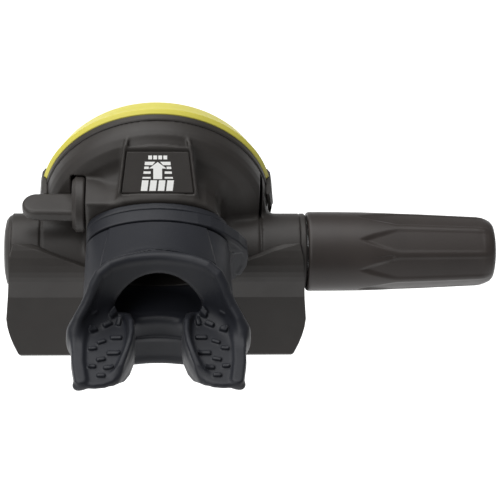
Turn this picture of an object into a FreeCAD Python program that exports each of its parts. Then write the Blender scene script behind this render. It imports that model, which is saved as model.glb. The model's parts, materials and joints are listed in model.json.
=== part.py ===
import FreeCAD, Part
import math
import os
from FreeCAD import Vector

# Second stage of a scuba regulator, with the sleeve that protects the end of its hose.
# All sizes are millimetres. Shapes are drawn about the valve barrel: X runs along the barrel towards the
# hose, Y points forward, away from the diver, and Z is up. Each shape is then moved so that the origin is
# the centre of the mouthpiece's air hole.

# ---- driving dimensions -------------------------------------------------------------------------------

MOUTH = Vector(0.0, -41.0, 22.0)       # centre of the air hole, seen from the barrel's axis

# drum that holds the diaphragm, and what closes it; all turned about an axis along Y
DRUM_Z = 10.0                          # height of that axis above the barrel
DRUM_R = 35.8
DRUM_BACK = 3.4                        # where the bowl of the drum's back turns into its side
DRUM_BULGE = 1.2                       # how far the middle of that back stands behind it
DRUM_FRONT = 11.6
CHAMBER_FLOOR = 9.4
CHAMBER_R = 31.4
HOLLOW_BACK = 4.2                      # hollow behind the chamber's floor, which lightens the drum
HOLLOW_WALL = 2.2                      # wall kept between it and the barrel or the venturi lever
COLLAR_R = 34.2                        # threaded collar for the cover ring
COLLAR_FRONT = 13.1
RING_R = 36.2
RING_BACK = 11.7
RING_FRONT = 14.3
RING_LIP_R = 31.4
SHOULDER_R = 37.5                      # guards on the ring's two sides, which end the cover's colour
SHOULDER_LOW = -1.0
SHOULDER_HIGH = 18.4
SHOULDER_BACK = 7.6
SHOULDER_FRONT = 19.4
BEAD = 0.6                             # clamped edge of the diaphragm

# yellow cover and the purge button
COVER_R = 37.1
COVER_SIDE = 9.7                       # height of the cover's rounded side
COVER_DRAFT = 4.6                      # how far the side draws in
COVER_CROWN = 2.4
COVER_WALL = 2.0
BUTTON_R = 12.6
BUTTON_GAP = 0.4
BUTTON_PROUD = 1.4
POST_R = 4.0
WEB_Y = 16.8                           # spoked web that guides the button's post
WEB_T = 1.4

# diaphragm
DISC_R = 15.6
DISC_T = 1.0
MEMBRANE_T = 0.6
MEMBRANE_DIP = 2.4

# barrel housing and the metal valve barrel
HOUSING_R = 12.3
HOUSING_LEFT = -46.0
HOUSING_RIGHT = 45.6
SEAM_LEFT = -36.7                      # fine grooves round the housing
SEAM_RIGHT = 33.0
SEAM = 0.35
POCKET_R = 10.6                        # open space round the barrel, under the diaphragm
POCKET_HALF = 18.0
BARREL_R = 7.1
BARREL_BORE = 5.2
BARREL_LEFT = -40.0
BARREL_RIGHT = 57.0
SEAT_X = 28.4                          # where the poppet's seat meets the orifice
ORIFICE_R = 6.1
COLLAR_X = 47.8                        # right face of the inlet collar
CAP_T = 2.4

# poppet
STEM_R = 1.7
HEAD_R = 4.8
WASHER_X = -14.0
WASHER_T = 0.6
WASHER_R = 3.9
NUT_T = 2.8

# demand lever
PIVOT_X = -12.5
PIVOT_Y = 3.5
PIVOT_R = 1.2
TIP_X = 2.0
LEVER_T = 1.0

# neck between the drum and the mouthpiece
NECK_HALF = 20.5
NECK_END = -9.2
NECK_TOP = 31.5
BOSS_TOP = 29.8                        # square boss of the venturi lever
BOSS_LEFT = -22.3
BOSS_W = 12.0
TUBE_Z = 20.0                          # axis of the mouth tube
TUBE_HALF_W = 19.8
TUBE_HALF_H = 8.6
TUBE_END = -28.0
TUBE_WALL = 1.6

# raised panel on the neck: its slope, its two rails and the label between them
PANEL_FRONT_Y = 4.0
PANEL_FRONT_Z = 44.45
PANEL_REAR_Y = -6.9
PANEL_REAR_Z = 32.6
PANEL_SLOPE = (PANEL_FRONT_Z - PANEL_REAR_Z) / (PANEL_FRONT_Y - PANEL_REAR_Y)
RAIL_W = 2.2
RAIL_FRONT_X = 10.0                    # outer side of a rail
RAIL_REAR_X = 12.4
LABEL_FRONT_Y = 1.6
LABEL_REAR_Y = -6.7
LABEL_FRONT_X = 8.45
LABEL_REAR_X = 10.25

# venturi lever
VENTURI_Y = -0.6
VENTURI_Z = 21.6
HUB_R = 8.8
HUB_LEFT = -26.5
WING_LEFT = -42.1
WING_OFFSET = -1.4                     # the wing sits behind the hub's centre
WING_W = 9.0
WING_T = 4.2
SHAFT_R = 3.0
RUNNING = 0.05                         # radial clearance of turning and sliding fits
FREE = 0.3                             # clearance between parts that only pass each other

# exhaust valve and tee
PORT_Y = -3.2
PORT_R = 9.0
PORT_BOTTOM = -14.0
PORT_TOP = -8.0
VALVE_R = 8.4
TEE_COLLAR_R = 9.9                     # collar of the tee round the port
TEE_COLLAR_TOP = -12.6
TEE_COLLAR_BOTTOM = -17.5
TEE_HALF = 48.2
TEE_WALL = 1.6
TEE_REAR = -13.6
TEE_CREASE_Z = -7.4
TEE_LIP_Y = -19.6
TEE_BOTTOM = -28.8
TEE_FRONT = 2.9

# mouthpiece
SLEEVE_FRONT = -9.7
SLEEVE_HALF_W = 22.3
SLEEVE_HALF_H = 11.3
BAND_FRONT = -12.4
BAND_W = 4.8
BAND_HALF_W = 22.0
BAND_HALF_H = 10.9
BAND_T = 1.3
FLANGE_Y = -39.2                       # front face of the flange, on the centre line
FLANGE_T = 3.0
FLANGE_WRAP = 33.0                     # the flange wraps round the teeth at this radius
FLANGE_HALF_W = 27.2
FLANGE_LEAN = 10.0                     # degrees
FLANGE_TOP = 37.2
FLANGE_BOTTOM = -3.4
HOLE_HALF_W = 14.0
HOLE_HALF_H = 8.0
TAB_TOP = 18.6
TAB_WALL = 3.0
TAB_LIP = 2.4
TAB_T = 4.2
TAB_INNER = 7.4
TAB_OUTER = 26.2
TAB_END = -72.5

# hose end
NUT_LEFT = 48.2
NUT_RIGHT = 60.0
NUT_FLATS = 17.5
SLEEVE_LEFT = 48.1
SLEEVE_RIGHT = 108.9
SLEEVE_BIG_R = 12.75
SLEEVE_SMALL_R = 10.9
HOSE_BORE_R = 6.4
FERRULE_BORE_R = 6.8
FERRULE_R = 8.4
FERRULE_LEFT = 62.0
FERRULE_RIGHT = 80.0

AXIS_X = Vector(1, 0, 0)
AXIS_Y = Vector(0, 1, 0)
AXIS_Z = Vector(0, 0, 1)


# ---- shape helpers ------------------------------------------------------------------------------------

def cylinder_x(x0, x1, radius, y=0.0, z=0.0):
    return Part.makeCylinder(radius, x1 - x0, Vector(x0, y, z), AXIS_X)


def cylinder_y(y0, y1, radius, x=0.0, z=DRUM_Z):
    return Part.makeCylinder(radius, y1 - y0, Vector(x, y0, z), AXIS_Y)


def cylinder_z(z0, z1, radius, x=0.0, y=0.0):
    return Part.makeCylinder(radius, z1 - z0, Vector(x, y, z0), AXIS_Z)


def box(x0, x1, y0, y1, z0, z1):
    return Part.makeBox(x1 - x0, y1 - y0, z1 - z0, Vector(x0, y0, z0))


def polygon_face(points):
    return Part.Face(Part.makePolygon([Vector(*p) for p in points + points[:1]]))


def turned_x(profile, y=0.0, z=0.0):
    """A solid turned about a line along X; the profile is (x, radius) pairs."""
    face = polygon_face([(x, y + radius, z) for x, radius in profile])
    return face.revolve(Vector(0, y, z), AXIS_X, 360)


def turned_y(profile, x=0.0, z=DRUM_Z):
    """A solid turned about a line along Y; the profile is (radius, y) pairs."""
    face = polygon_face([(x + radius, y, z) for radius, y in profile])
    return face.revolve(Vector(x, 0, z), AXIS_Y, 360)


def turned_z(profile, x=0.0, y=0.0):
    """A solid turned about a line along Z; the profile is (radius, z) pairs."""
    face = polygon_face([(x + radius, y, z) for radius, z in profile])
    return face.revolve(Vector(x, y, 0), AXIS_Z, 360)


def extruded_x(profile, x0, x1):
    """A solid with a constant (y, z) outline between x0 and x1."""
    return polygon_face([(x0, y, z) for y, z in profile]).extrude(Vector(x1 - x0, 0, 0))


def extruded_y(profile, y0, y1):
    """A solid with a constant (x, z) outline between y0 and y1."""
    return polygon_face([(x, y0, z) for x, z in profile]).extrude(Vector(0, y1 - y0, 0))


def extruded_z(profile, z0, z1):
    """A solid with a constant (x, y) outline between z0 and z1."""
    return polygon_face([(x, y, z0) for x, y in profile]).extrude(Vector(0, 0, z1 - z0))


def oval_wire(y, half_w, half_h, z=TUBE_Z):
    ellipse = Part.Ellipse(Vector(half_w, y, z), Vector(0, y, z + half_h), Vector(0, y, z))
    return Part.Wire([ellipse.toShape()])


def oval_prism(y0, y1, half_w, half_h, z=TUBE_Z):
    return Part.Face(oval_wire(y0, half_w, half_h, z)).extrude(Vector(0, y1 - y0, 0))


def oval_loft(stations):
    """A solid through ovals, each given as (y, half width, half height, z)."""
    return Part.makeLoft([oval_wire(*s) for s in stations], True)


def torus_x(x, ring_r, cord_r, y=0.0, z=0.0):
    return Part.makeTorus(ring_r, cord_r, Vector(x, y, z), AXIS_X)


def fuse(shapes):
    return shapes[0].multiFuse(shapes[1:]).removeSplitter()


def mirrored(shape):
    return shape.mirror(Vector(0, 0, 0), AXIS_X)


def both_sides(shape):
    return [shape, mirrored(shape)]


def spring_along(start, direction, length, coil_r, wire_r, turns):
    """A helical compression spring whose wire's centre line runs from start along direction."""
    helix = Part.makeLongHelix(length / turns, length, coil_r)
    circle = Part.Wire([Part.makeCircle(wire_r, Vector(coil_r, 0, 0), AXIS_Y)])
    coil = Part.Wire(helix.Edges).makePipeShell([circle], True, True)
    coil.Placement = FreeCAD.Placement(start, FreeCAD.Rotation(AXIS_Z, direction))
    return coil


# ---- case ---------------------------------------------------------------------------------------------

def drum_outside():
    """The drum: a shallow bowl from behind, with a threaded collar in front, clear of the tee below."""
    drum = turned_y([
        (0, DRUM_BACK - DRUM_BULGE), (0.6 * DRUM_R, DRUM_BACK - 0.9 * DRUM_BULGE),
        (0.78 * DRUM_R, DRUM_BACK - 0.6 * DRUM_BULGE), (0.9 * DRUM_R, DRUM_BACK + 0.1),
        (DRUM_R - 1.8, DRUM_BACK + 1.3), (DRUM_R - 0.6, DRUM_BACK + 3.0), (DRUM_R, DRUM_BACK + 5.4),
        (DRUM_R, DRUM_FRONT), (COLLAR_R, DRUM_FRONT), (COLLAR_R, COLLAR_FRONT), (0, COLLAR_FRONT)])
    tee_room = box(-DRUM_R, DRUM_R, 0, TEE_FRONT + FREE, -DRUM_R, -HOUSING_R + FREE)
    collar_room = cylinder_z(TEE_COLLAR_BOTTOM - FREE, TEE_COLLAR_TOP + FREE, TEE_COLLAR_R + FREE,
                             0, PORT_Y)
    return drum.cut(tee_room).cut(collar_room)


def drum_hollow():
    """What is hollow behind the chamber, less a wall round the barrel and round the lever's recess."""
    hollow = turned_y([
        (0, HOLLOW_BACK), (0.78 * DRUM_R, HOLLOW_BACK), (CHAMBER_R - 0.6, HOLLOW_BACK + 1.4),
        (CHAMBER_R, HOLLOW_BACK + 3.0), (CHAMBER_R, CHAMBER_FLOOR), (0, CHAMBER_FLOOR)])
    barrel_wall = cylinder_x(-DRUM_R, DRUM_R, BARREL_R + HOLLOW_WALL)
    lever_wall = cylinder_x(-DRUM_R, -NECK_HALF + HOLLOW_WALL, HUB_R + FREE + HOLLOW_WALL, VENTURI_Y,
                            VENTURI_Z)
    port_wall = cylinder_z(TEE_COLLAR_BOTTOM - HOLLOW_WALL, 0, TEE_COLLAR_R + FREE + HOLLOW_WALL,
                           0, PORT_Y)
    return hollow.cut(barrel_wall).cut(lever_wall).cut(port_wall)


def neck_section(y, side, top, crown):
    """Outline of the neck at one Y: straight sides that spread at the foot, and a crowned top."""
    foot = side + 2.6
    corner_z = top - 7.5
    foot_z = 6.0
    mid_z = 14.0
    points = [(-foot, 0.0), (-foot, foot_z), (-side, mid_z), (-side + 0.8, corner_z)]
    edges = [Part.LineSegment(Vector(a[0], y, a[1]), Vector(b[0], y, b[1]))
             for a, b in zip(points, points[1:])]
    crown_x = side - 9.0
    left_end = Vector(-side + 0.8, y, corner_z)
    left_mid = Vector(-side + 3.1, y, corner_z + 5.2)
    left_top = Vector(-crown_x, y, top)
    edges.append(Part.Arc(left_end, left_mid, left_top))
    edges.append(Part.Arc(left_top, Vector(0, y, top + crown), Vector(crown_x, y, top)))
    edges.append(Part.Arc(Vector(crown_x, y, top), Vector(side - 3.1, y, corner_z + 5.2),
                          Vector(side - 0.8, y, corner_z)))
    back = [(-x, z) for x, z in reversed(points)]
    edges += [Part.LineSegment(Vector(a[0], y, a[1]), Vector(b[0], y, b[1]))
              for a, b in zip(back, back[1:])]
    edges.append(Part.LineSegment(Vector(foot, y, 0), Vector(-foot, y, 0)))
    return Part.Wire([e.toShape() for e in edges])


def neck_outside():
    """The neck's block, the square boss of the venturi lever on its left, and the mouth tube."""
    block = Part.makeLoft([neck_section(HOLLOW_BACK - 0.2, NECK_HALF - 1.4, NECK_TOP, 0.8),
                           neck_section(NECK_END, NECK_HALF - 0.3, NECK_TOP - 2.4, 2.2)], True)
    boss = box(BOSS_LEFT, BOSS_LEFT + BOSS_W, NECK_END, DRUM_BACK + 0.2, 8.0, BOSS_TOP)
    boss = boss.makeChamfer(0.8, [e for e in boss.Edges if e.CenterOfMass.x < BOSS_LEFT + 0.1
                                  and e.CenterOfMass.z > BOSS_TOP - 0.1])
    tube = oval_prism(TUBE_END, NECK_END + 2.0, TUBE_HALF_W, TUBE_HALF_H)
    return [block, boss, tube]


def panel_section(y, half, sink, depth, centre=0.0):
    """A rectangle across the panel at one Y; its top lies on the panel's slope, less the sink."""
    top = PANEL_REAR_Z + (y - PANEL_REAR_Y) * PANEL_SLOPE - sink
    left, right = centre - half, centre + half
    return Part.makePolygon([Vector(left, y, top - depth), Vector(right, y, top - depth),
                             Vector(right, y, top), Vector(left, y, top), Vector(left, y, top - depth)])


def panel_outside():
    """The raised panel behind the drum, with a rail along each side that climbs on to the drum."""
    panel = Part.makeLoft([panel_section(LABEL_FRONT_Y + 0.9, RAIL_FRONT_X - 0.4, 0.3, 14.0),
                           panel_section(PANEL_REAR_Y, RAIL_REAR_X, 0.3, 6.0)], True, True)
    rail = Part.makeLoft([
        panel_section(PANEL_FRONT_Y, 0.5 * RAIL_W, 0, 14.0, RAIL_FRONT_X - 0.5 * RAIL_W),
        panel_section(PANEL_REAR_Y, 0.5 * RAIL_W, 0, 6.0, RAIL_REAR_X - 0.5 * RAIL_W)], True, True)
    return [panel] + both_sides(rail)


def label_block(margin, sink, thickness):
    """The trapezium that the label fills, sunk below the rails."""
    return Part.makeLoft([
        panel_section(LABEL_FRONT_Y - margin, LABEL_FRONT_X - margin, sink, thickness),
        panel_section(LABEL_REAR_Y + margin, LABEL_REAR_X - margin, sink, thickness)], True, True)


def case_shell():
    housing = cylinder_x(HOUSING_LEFT, HOUSING_RIGHT, HOUSING_R)
    boss = cylinder_z(PORT_BOTTOM, PORT_TOP, PORT_R, 0, PORT_Y)
    body = fuse([drum_outside(), housing, boss] + panel_outside() + neck_outside())
    for x in (SEAM_LEFT, SEAM_RIGHT):
        groove = cylinder_x(x - SEAM, x + SEAM, HOUSING_R + 1)
        body = body.cut(groove.cut(cylinder_x(x - SEAM, x + SEAM, HOUSING_R - SEAM)))
    chamber = cylinder_y(CHAMBER_FLOOR, COLLAR_FRONT, CHAMBER_R)
    pocket = cylinder_x(-POCKET_HALF, POCKET_HALF, POCKET_R)
    pocket_top = box(-POCKET_HALF, POCKET_HALF, 0, CHAMBER_FLOOR + 1, -POCKET_R, POCKET_R)
    passage = oval_prism(TUBE_END, CHAMBER_FLOOR + 1, TUBE_HALF_W - TUBE_WALL, TUBE_HALF_H - TUBE_WALL)
    barrel_bore = cylinder_x(HOUSING_LEFT, HOUSING_RIGHT, BARREL_R + RUNNING)
    shaft_bore = cylinder_x(BOSS_LEFT - 2, -10, SHAFT_R + RUNNING, VENTURI_Y, VENTURI_Z)
    oring_seat = cylinder_x(BOSS_LEFT - 2, BOSS_LEFT + 0.8, SHAFT_R + 1.3, VENTURI_Y, VENTURI_Z)
    hub_room = cylinder_x(HUB_LEFT - FREE, BOSS_LEFT, HUB_R + FREE, VENTURI_Y, VENTURI_Z)
    wing_room = cylinder_x(-DRUM_R, HUB_LEFT, 0.5 * WING_W + FREE, VENTURI_Y + WING_OFFSET, VENTURI_Z)
    label_seat = label_block(0.0, -0.5, 1.8)
    ring_room = cylinder_y(RING_BACK, RING_FRONT, RING_R + FREE)
    ring_room = ring_room.cut(cylinder_y(RING_BACK, RING_FRONT, COLLAR_R))
    for cut in (chamber, drum_hollow(), pocket, pocket_top, passage, barrel_bore, shaft_bore, oring_seat,
                hub_room, wing_room, label_seat, ring_room):
        body = body.cut(cut)
    return body.cut(exhaust_port())


def exhaust_port():
    """The windows under the pocket, round a cross that carries the exhaust valve."""
    cross_t = 1.6
    arm = 0.9
    hub_r = 2.6
    hole = cylinder_z(PORT_BOTTOM, PORT_TOP, PORT_R - 1.6, 0, PORT_Y)
    cross = fuse([box(-PORT_R, PORT_R, PORT_Y - arm, PORT_Y + arm, PORT_BOTTOM, PORT_BOTTOM + cross_t),
                  box(-arm, arm, PORT_Y - PORT_R, PORT_Y + PORT_R, PORT_BOTTOM, PORT_BOTTOM + cross_t),
                  cylinder_z(PORT_BOTTOM, PORT_BOTTOM + cross_t, hub_r, 0, PORT_Y)])
    stem_hole = cylinder_z(PORT_BOTTOM, PORT_TOP, 1.3, 0, PORT_Y)
    return fuse([hole.cut(cross), stem_hole])


def label_plate():
    return label_block(0.15, 0.8, 0.5)


# ---- ring, cover and purge button ---------------------------------------------------------------------

def shoulder_zone(low, high, back, front, margin):
    """Both sides of the drum between two heights; it stays clear of the housing's front."""
    above_housing = HOUSING_R + 0.5
    profile = [(back, above_housing), (back, high), (front, high), (front, low), (above_housing, low),
               (above_housing, above_housing)]
    return extruded_x(profile, -SHOULDER_R - margin, SHOULDER_R + margin)


def cover_ring():
    chamfer = 0.4
    ring = turned_y([
        (COLLAR_R + RUNNING, RING_BACK), (RING_R - chamfer, RING_BACK), (RING_R, RING_BACK + chamfer),
        (RING_R, RING_FRONT - chamfer), (RING_R - chamfer, RING_FRONT), (RING_LIP_R, RING_FRONT),
        (RING_LIP_R, COLLAR_FRONT + BEAD), (COLLAR_R + RUNNING, COLLAR_FRONT + BEAD)])
    inner = DRUM_R + RUNNING
    guard = turned_y([
        (inner, SHOULDER_BACK), (SHOULDER_R - 0.8, SHOULDER_BACK), (SHOULDER_R, SHOULDER_BACK + 1.6),
        (SHOULDER_R, SHOULDER_FRONT - 1.6), (SHOULDER_R - 0.8, SHOULDER_FRONT), (inner, SHOULDER_FRONT)])
    guards = guard.common(shoulder_zone(SHOULDER_LOW, SHOULDER_HIGH, SHOULDER_BACK, SHOULDER_FRONT, 1.0))
    return fuse([ring, guards])


def front_cover():
    side_top = RING_FRONT + COVER_SIDE
    top_r = COVER_R - COVER_DRAFT
    opening = BUTTON_R + BUTTON_GAP
    inner_r = top_r - COVER_WALL
    skirt_r = RING_LIP_R - RUNNING
    crown_r = 0.5 * (opening + top_r)
    crown_y = side_top + 0.7 * COVER_CROWN
    shell = turned_y([
        (skirt_r - 1.4, COLLAR_FRONT + BEAD), (skirt_r, COLLAR_FRONT + BEAD), (skirt_r, RING_FRONT),
        (RING_R, RING_FRONT), (COVER_R, RING_FRONT + 1.2), (COVER_R - 1.0, RING_FRONT + 3.2),
        (COVER_R - 2.0, RING_FRONT + 5.5), (COVER_R - 2.9, RING_FRONT + 7.4),
        (COVER_R - 3.8, RING_FRONT + 8.8), (top_r, side_top),
        (crown_r, crown_y), (opening, side_top + COVER_CROWN),
        (opening, side_top + COVER_CROWN - COVER_WALL), (crown_r, crown_y - COVER_WALL),
        (inner_r, side_top - COVER_WALL), (inner_r, RING_FRONT + 1.0), (skirt_r - 1.4, RING_FRONT + 1.0)])
    guard_room = shoulder_zone(SHOULDER_LOW - FREE, SHOULDER_HIGH + FREE, SHOULDER_BACK,
                               SHOULDER_FRONT + FREE, 1.0)
    shell = shell.cut(guard_room.cut(cylinder_y(0, SHOULDER_FRONT + 1, DRUM_R)))
    for turn in range(8):
        slot = box(-1.7, 1.7, side_top - 4.0, side_top + COVER_CROWN + 2, 18.5, 27.5)
        rounded = [slot, cylinder_y(side_top - 4.0, side_top + COVER_CROWN + 2, 1.7, 0, 18.5),
                   cylinder_y(side_top - 4.0, side_top + COVER_CROWN + 2, 1.7, 0, 27.5)]
        cutter = fuse(rounded)
        cutter.rotate(Vector(0, 0, 0), AXIS_Y, 22.5 + 45.0 * turn)
        cutter.translate(Vector(0, 0, DRUM_Z))
        shell = shell.cut(cutter)
    web = [cylinder_y(WEB_Y, WEB_Y + WEB_T, POST_R + 5.0)]
    for turn in range(3):
        spoke = box(-1.5, 1.5, WEB_Y, WEB_Y + WEB_T, POST_R + 3.0, inner_r + 0.4)
        spoke.rotate(Vector(0, 0, 0), AXIS_Y, 120.0 * turn)
        spoke.translate(Vector(0, 0, DRUM_Z))
        web.append(spoke)
    hub_hole = cylinder_y(WEB_Y - 1, WEB_Y + WEB_T + 1, POST_R + RUNNING)
    return fuse([shell] + web).cut(hub_hole)


def button_top():
    return RING_FRONT + COVER_SIDE + COVER_CROWN + BUTTON_PROUD


def purge_button():
    """A domed cap with a retaining rim and a guided post that ends just clear of the diaphragm."""
    top = button_top()
    rim_top = top - BUTTON_PROUD - COVER_WALL - 0.3
    rim_r = BUTTON_R + 1.6
    post_end = COLLAR_FRONT + 0.2 + FREE
    return turned_y([
        (0, post_end), (POST_R, post_end), (POST_R, top - 2.6), (BUTTON_R - 1.6, top - 2.6),
        (BUTTON_R - 1.6, rim_top - 1.0), (rim_r, rim_top - 1.0), (rim_r, rim_top), (BUTTON_R, rim_top),
        (BUTTON_R, top - 1.3), (BUTTON_R - 0.9, top - 0.4), (BUTTON_R * 0.5, top), (0, top + 0.2)])


def purge_spring():
    wire_r = 0.45
    low = WEB_Y + WEB_T + wire_r + 0.05
    high = button_top() - 2.6 - wire_r - 0.05
    return spring_along(Vector(0, low, DRUM_Z), AXIS_Y, high - low, POST_R + 2.0, wire_r, 3)


# ---- diaphragm ----------------------------------------------------------------------------------------

def diaphragm():
    """The membrane: a clamped bead, and a fold that lets its centre travel."""
    inner = DISC_R + 0.7
    lip = RING_LIP_R + 0.4
    top = COLLAR_FRONT
    dip = top - MEMBRANE_DIP
    middle = 0.5 * (inner + CHAMBER_R)
    outer_fold = CHAMBER_R - 3.0
    inner_fold = inner + 3.0
    return turned_y([
        (COLLAR_R - 0.1, top), (COLLAR_R - 0.1, top + BEAD), (lip, top + BEAD), (outer_fold, top - 0.4),
        (middle, dip + MEMBRANE_T), (inner_fold, top - 0.6), (inner, top), (inner, top - MEMBRANE_T),
        (inner_fold, top - 0.6 - MEMBRANE_T), (middle, dip), (outer_fold, top - 0.4 - MEMBRANE_T),
        (CHAMBER_R, top)])


def diaphragm_disc():
    top = COLLAR_FRONT + 0.2
    return turned_y([(0, top - DISC_T), (DISC_R - 1.2, top - DISC_T), (DISC_R, top - DISC_T + 0.3),
                     (DISC_R, top), (0, top)])


# ---- demand valve -------------------------------------------------------------------------------------

def valve_barrel():
    """The metal tube: bore with an inner web for the spring, outlet windows and lever holes."""
    web_left, web_right = -10.4, -8.8
    body = cylinder_x(BARREL_LEFT, BARREL_RIGHT, BARREL_R)
    thread_relief = cylinder_x(44.4, 46.4, BARREL_R + 1).cut(cylinder_x(44.4, 46.4, BARREL_R - 0.6))
    left_bore = cylinder_x(BARREL_LEFT, web_left, BARREL_BORE)
    right_bore = cylinder_x(web_right, SEAT_X, BARREL_BORE)
    stem_hole = cylinder_x(web_left, web_right, STEM_R + 0.4)
    inlet = cylinder_x(SEAT_X, BARREL_RIGHT, ORIFICE_R)
    lever_hole = cylinder_z(-9, 9, PIVOT_R + RUNNING, PIVOT_X, PIVOT_Y)
    window = box(9, 16, -BARREL_R - 1, -2, -3.2, 3.2)
    for cut in (left_bore, right_bore, stem_hole, inlet, lever_hole, window, thread_relief):
        body = body.cut(cut)
    return body


def orifice():
    return turned_x([(SEAT_X + 0.1, 1.6), (SEAT_X + 0.1, 2.1), (SEAT_X + 1.6, 3.4),
                     (SEAT_X + 1.6, ORIFICE_R - RUNNING), (33.0, ORIFICE_R - RUNNING), (33.0, 4.9),
                     (35.4, 4.9), (35.4, ORIFICE_R - RUNNING), (39.0, ORIFICE_R - RUNNING), (39.0, 1.6)])


def orifice_oring():
    return torus_x(34.2, 5.45, 0.5)


def poppet():
    head = turned_x([(19.6, 0), (19.6, HEAD_R), (26.6, HEAD_R), (26.6, 0)])
    flutes = [box(19.0, 27.0, -0.9, 0.9, 3.3, 6.0)]
    for turn in range(1, 4):
        flute = flutes[0].copy()
        flute.rotate(Vector(0, 0, 0), AXIS_X, 90.0 * turn)
        flutes.append(flute)
    seat_pocket = cylinder_x(25.6, 26.6, 3.0)
    for cut in flutes + [seat_pocket]:
        head = head.cut(cut)
    return fuse([head, cylinder_x(WASHER_X - NUT_T - 0.8, 20.0, STEM_R)])


def lp_seat():
    return cylinder_x(25.6, SEAT_X, 2.95)


def poppet_spring():
    wire_r = 0.4
    return spring_along(Vector(-8.8 + wire_r + 0.05, 0, 0), AXIS_X, 28.4 - 2 * wire_r - 0.1, 3.6, wire_r, 9)


def poppet_washer():
    return turned_x([(WASHER_X, STEM_R + 0.03), (WASHER_X, WASHER_R), (WASHER_X + WASHER_T, WASHER_R),
                     (WASHER_X + WASHER_T, STEM_R + 0.03)])


def poppet_locknut():
    return hexagon(WASHER_X - NUT_T, WASHER_X, 6.4).cut(
        cylinder_x(WASHER_X - NUT_T, WASHER_X, STEM_R + 0.03))


def hexagon(x0, x1, flats):
    """A hexagonal prism along X."""
    corner = flats / math.sqrt(3.0)
    points = [(corner * math.cos(math.radians(60 * k)), corner * math.sin(math.radians(60 * k)))
              for k in range(6)]
    return extruded_x(points, x0, x1)


def demand_lever():
    """A fork round the barrel, with pins in its side holes, feet on the washer and one long arm."""
    cheek_in, cheek_out = 7.5, 8.4
    foot_in, foot_out = 2.5, 3.7
    bridge = BARREL_R + 0.9
    tip_y = COLLAR_FRONT + 0.2 - DISC_T - FREE
    half_arm = 2.0
    side = [cylinder_z(foot_out - 0.1, cheek_out, PIVOT_R, PIVOT_X, PIVOT_Y),
            box(PIVOT_X - 0.5, PIVOT_X + 1.0, -1.0, PIVOT_Y, foot_in, foot_out),
            box(PIVOT_X - 1.6, PIVOT_X + 1.6, PIVOT_Y - 1.6, bridge + LEVER_T, cheek_in, cheek_out)]
    fork = side + [s.mirror(Vector(0, 0, 0), AXIS_Z) for s in side]
    fork.append(box(PIVOT_X - 1.6, PIVOT_X + 1.6, bridge, bridge + LEVER_T, -cheek_out, cheek_out))
    arm = polygon_face([
        (PIVOT_X, bridge, -half_arm), (PIVOT_X, bridge + LEVER_T, -half_arm),
        (TIP_X - 3.0, tip_y - 0.2, -half_arm), (TIP_X - 1.5, tip_y, -half_arm),
        (TIP_X, tip_y - 0.2, -half_arm), (TIP_X, tip_y - 0.2 - LEVER_T, -half_arm),
        (TIP_X - 3.0, tip_y - 0.2 - LEVER_T, -half_arm)])
    fork.append(arm.extrude(Vector(0, 0, 2 * half_arm)))
    return fuse(fork)


def barrel_plug():
    plug_right = -33.0
    return turned_x([(BARREL_LEFT, 0), (BARREL_LEFT, BARREL_BORE - RUNNING),
                     (-38.2, BARREL_BORE - RUNNING), (-38.2, 4.2), (-36.0, 4.2),
                     (-36.0, BARREL_BORE - RUNNING), (plug_right, BARREL_BORE - RUNNING),
                     (plug_right, 3.2), (-35.5, 3.2), (-35.5, 0)])


def barrel_plug_oring():
    return torus_x(-37.1, 4.68, 0.46)


def barrel_end_cap():
    rim = HOUSING_R - 0.5
    stub_r = BARREL_R - 0.02
    stub_right = BARREL_LEFT - 0.4
    dimple = 2.2
    return turned_x([
        (HOUSING_LEFT - CAP_T + 0.8, 0), (HOUSING_LEFT - CAP_T + 0.8, dimple),
        (HOUSING_LEFT - CAP_T, dimple + 0.8), (HOUSING_LEFT - CAP_T, rim - 4.4),
        (HOUSING_LEFT - CAP_T + 0.6, rim - 1.6), (HOUSING_LEFT - CAP_T + 1.5, rim - 0.4),
        (HOUSING_LEFT - 0.02, rim), (HOUSING_LEFT - 0.02, stub_r), (stub_right, stub_r), (stub_right, 0)])


def inlet_collar():
    """The ring on the right of the housing that screws on the barrel and draws it home."""
    chamfer = 0.6
    left = HOUSING_RIGHT + 0.02
    return turned_x([(left, BARREL_R + RUNNING), (left, HOUSING_R - 0.3), (left + 0.5, HOUSING_R),
                     (COLLAR_X - chamfer, HOUSING_R), (COLLAR_X, HOUSING_R - chamfer),
                     (COLLAR_X, BARREL_R + RUNNING)])


# ---- venturi lever ------------------------------------------------------------------------------------

def venturi_knob():
    hub = turned_x([(BOSS_LEFT - FREE, SHAFT_R + 0.02), (BOSS_LEFT - FREE, HUB_R - 0.3),
                    (BOSS_LEFT - FREE - 0.5, HUB_R), (HUB_LEFT + 1.2, HUB_R), (HUB_LEFT, HUB_R - 1.4),
                    (HUB_LEFT, 0), (HUB_LEFT + 1.5, 0), (HUB_LEFT + 1.5, SHAFT_R + 0.02)],
                   VENTURI_Y, VENTURI_Z)
    tip = WING_W * 0.5
    left = WING_LEFT + tip
    middle = VENTURI_Y + WING_OFFSET
    plan = [(HUB_LEFT + 1.0, middle - tip - 0.3), (HUB_LEFT + 1.0, middle + tip + 0.3),
            (left, middle + tip), (left, middle - tip)]
    low = VENTURI_Z - 0.5 * WING_T
    wing = extruded_z(plan, low, low + WING_T)
    end = cylinder_z(low, low + WING_T, tip, left, middle)
    wing = fuse([wing, end])
    wing = wing.makeFillet(1.3, [e for e in wing.Edges if abs(e.CenterOfMass.z - VENTURI_Z) > 1.5
                                 and e.CenterOfMass.x < HUB_LEFT])
    return fuse([hub, wing])


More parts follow.
